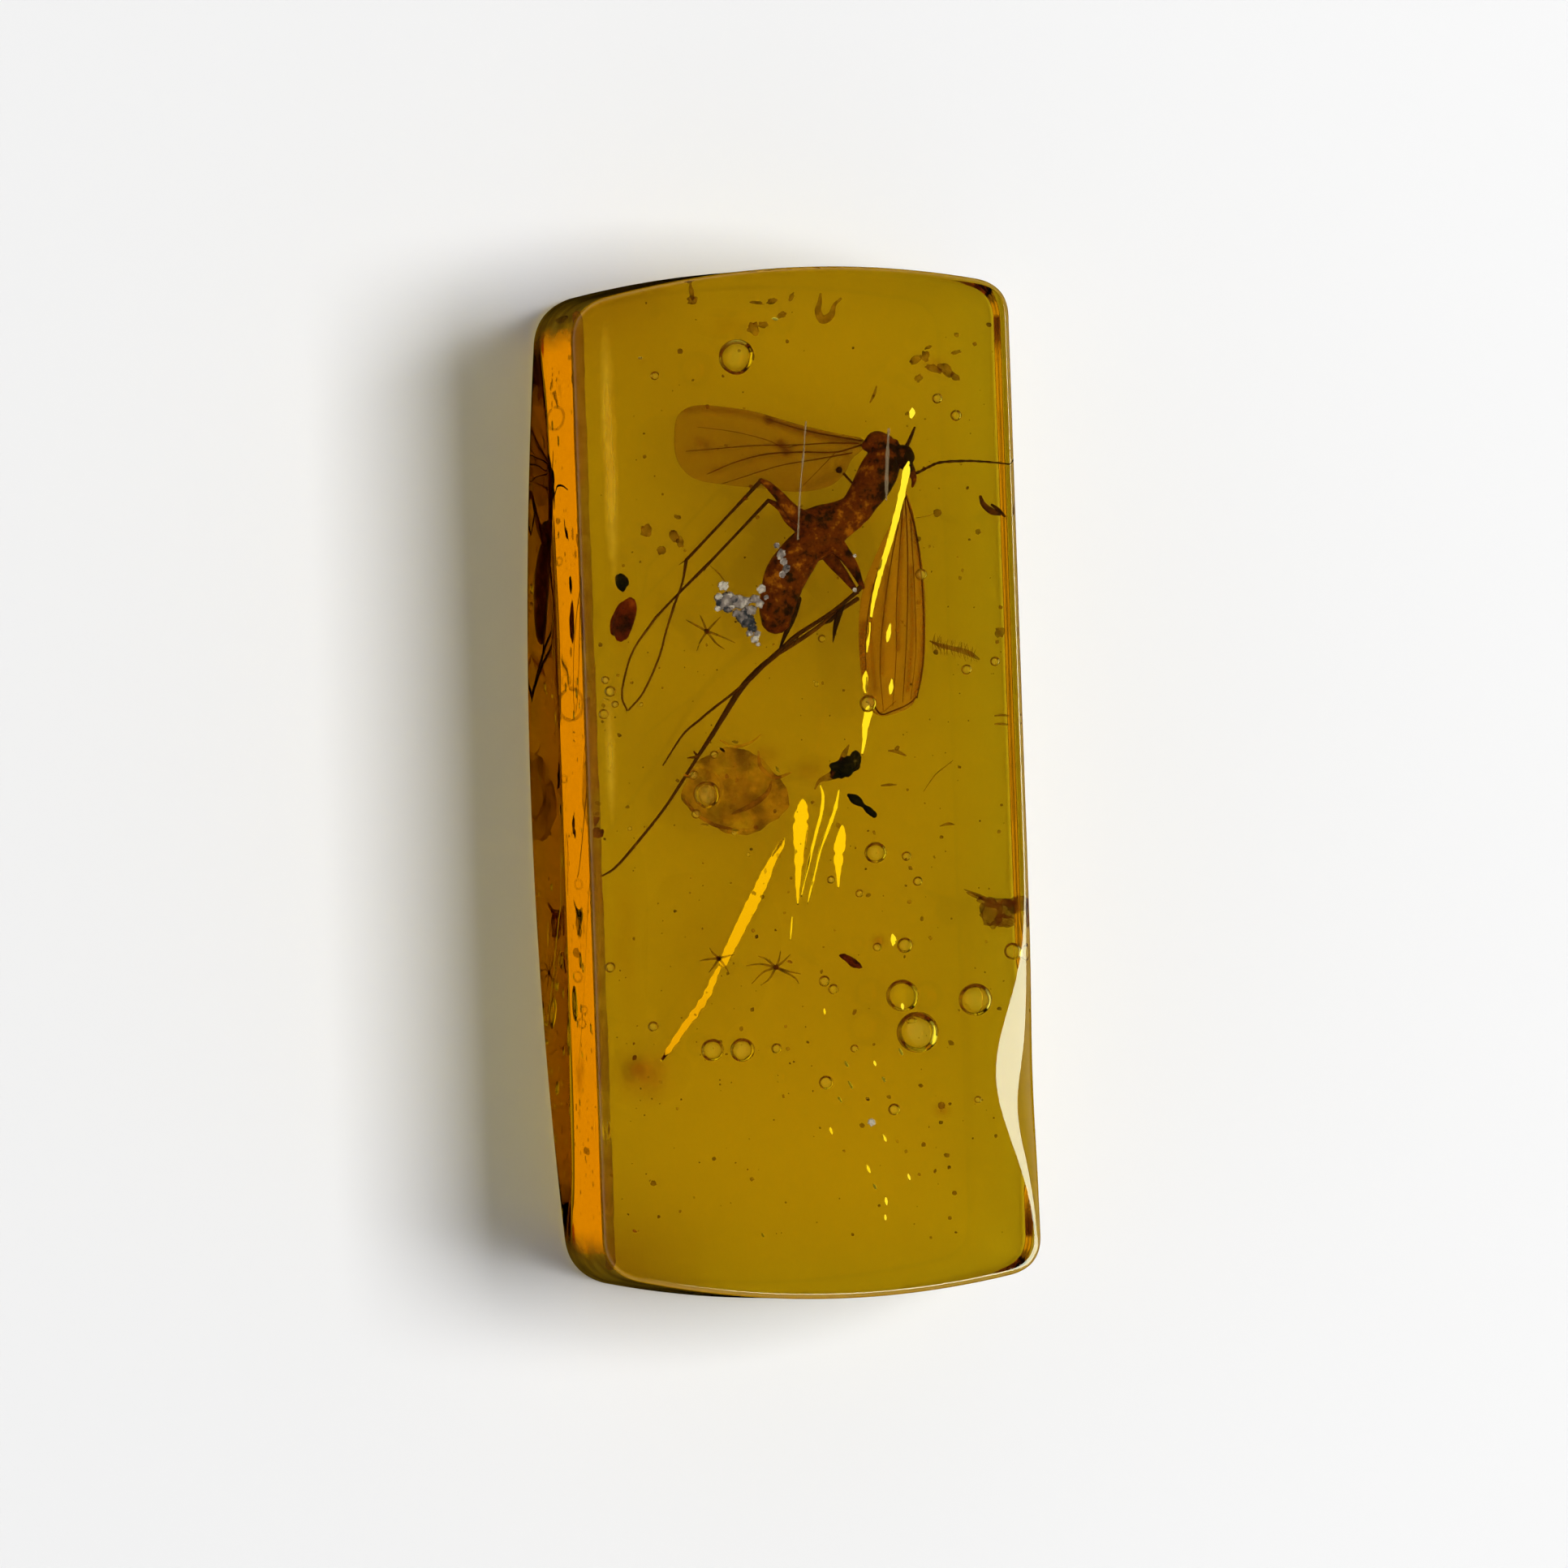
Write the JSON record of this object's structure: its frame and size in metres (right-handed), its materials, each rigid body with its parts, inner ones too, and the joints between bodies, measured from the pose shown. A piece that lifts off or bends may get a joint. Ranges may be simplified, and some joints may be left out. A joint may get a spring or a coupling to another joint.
{
  "type": "insect in amber",
  "caption": "Small polished slab of clear amber, bowed along one side, with a long-legged fungus gnat, star-shaped hairs and small plant debris sealed inside.",
  "frame": {"origin": "centre of the base, the flat back face that the slab lies on", "axes": "+Y along the slab towards the end that the gnat's head is nearer, +X across it towards the straight side, +Z out of the polished front face"},
  "size_m": [0.0122, 0.0266, 0.0068],
  "materials": {
    "amber": "clear golden amber, polished",
    "gnat_chitin": "reddish brown insect cuticle, with thin brown wings",
    "black_debris": "black organic grains",
    "brown_debris": "dark brown plant and bark crumbs",
    "cloudy_resin": "older cloudy resin, orange brown"
  },
  "bodies": {
    "root": {"amber_front": "amber", "amber_back": "amber", "fungus_gnat": "gnat_chitin", "black_grain": "black_debris", "dark_chip": "black_debris", "bark_fragment": "black_debris", "brown_seed": "brown_debris", "crumb_1": "brown_debris", "crumb_2": "brown_debris", "crumb_3": "brown_debris", "edge_crumb": "brown_debris", "debris_flake": "brown_debris", "bark_flake": "brown_debris", "red_rod": "brown_debris", "top_flake": "brown_debris", "top_bit": "brown_debris", "curled_bit": "brown_debris", "resin_drop": "brown_debris", "moss_sprig": "brown_debris", "stellate_hair_1": "brown_debris", "stellate_hair_2": "brown_debris", "stellate_hair_3": "brown_debris", "resin_lump": "cloudy_resin"}
  },
  "joints": []
}
